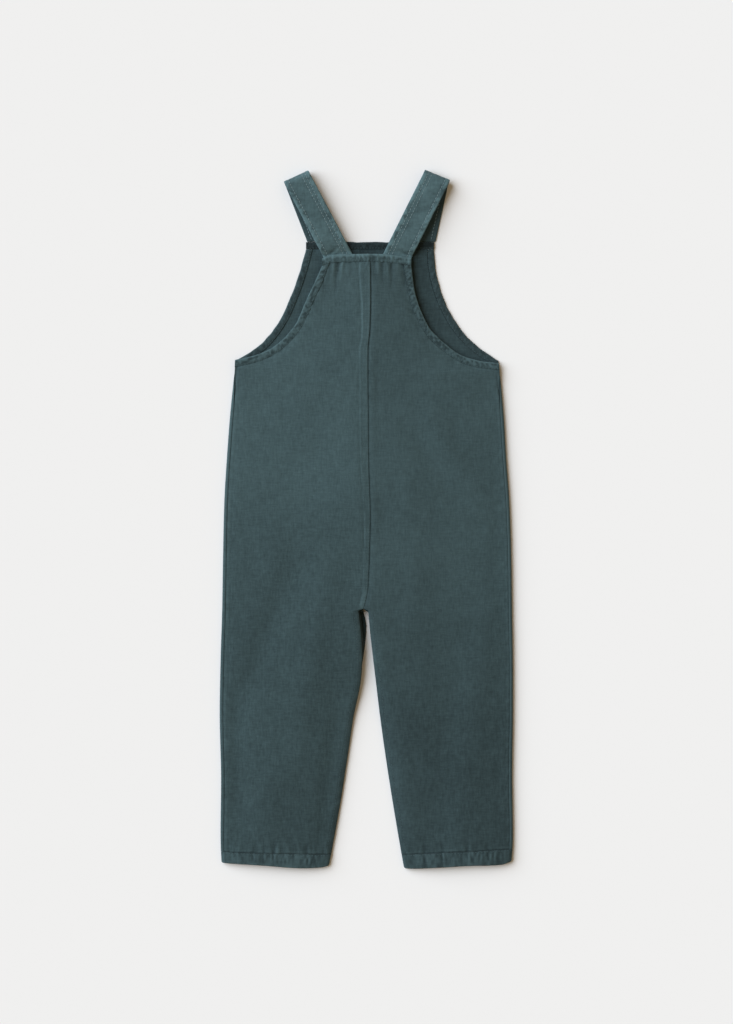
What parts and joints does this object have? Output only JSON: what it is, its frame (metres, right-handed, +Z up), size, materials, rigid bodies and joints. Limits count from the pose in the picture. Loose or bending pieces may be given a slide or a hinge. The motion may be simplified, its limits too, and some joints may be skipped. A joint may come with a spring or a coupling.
{
  "type": "dungarees",
  "caption": "Child's cotton dungarees with wide shoulder straps, a bib front and back, deep armholes and straight legs, laid flat with the back up.",
  "frame": {"origin": "centre of the laid-out garment's footprint, on the surface that it lies on", "axes": "+Z up from the surface to the back of the garment, +Y from the leg hems to the straps, +X to the right of the picture"},
  "size_m": [0.3082, 0.7348, 0.0137],
  "materials": {
    "cloth": "matt garment-dyed cotton twill"
  },
  "bodies": {
    "root": {"back_left": "cloth", "back_right": "cloth", "front_left": "cloth", "front_right": "cloth", "bib_hem_back": "cloth", "bib_hem_front": "cloth", "armhole_hem_back_left": "cloth", "armhole_hem_back_right": "cloth", "armhole_hem_front_left": "cloth", "armhole_hem_front_right": "cloth", "strap_left": "cloth", "strap_right": "cloth", "leg_hem_left": "cloth", "leg_hem_right": "cloth"}
  },
  "joints": []
}
